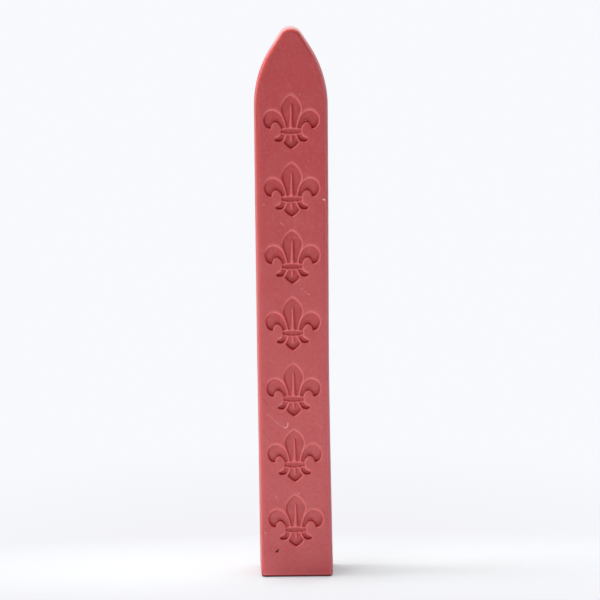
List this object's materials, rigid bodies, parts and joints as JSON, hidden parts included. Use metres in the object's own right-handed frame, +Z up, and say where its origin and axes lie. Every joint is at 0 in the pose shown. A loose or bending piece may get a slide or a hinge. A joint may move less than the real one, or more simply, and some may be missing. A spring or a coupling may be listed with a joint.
{
  "type": "sealing wax stick",
  "caption": "Flat wickless sealing wax stick with a pointed top and a row of impressed fleurs-de-lis, melted to seal envelopes.",
  "frame": {"origin": "middle of the flat base that the stick stands on", "axes": "+Z up the stick to its point, +Y out of the plain back, so the impressed face looks along -Y, +X to the right seen from the impressed face"},
  "size_m": [0.012, 0.008, 0.09],
  "materials": {
    "wax": "satin dusty red sealing wax"
  },
  "bodies": {
    "root": {"wax_stick": "wax"}
  },
  "joints": []
}
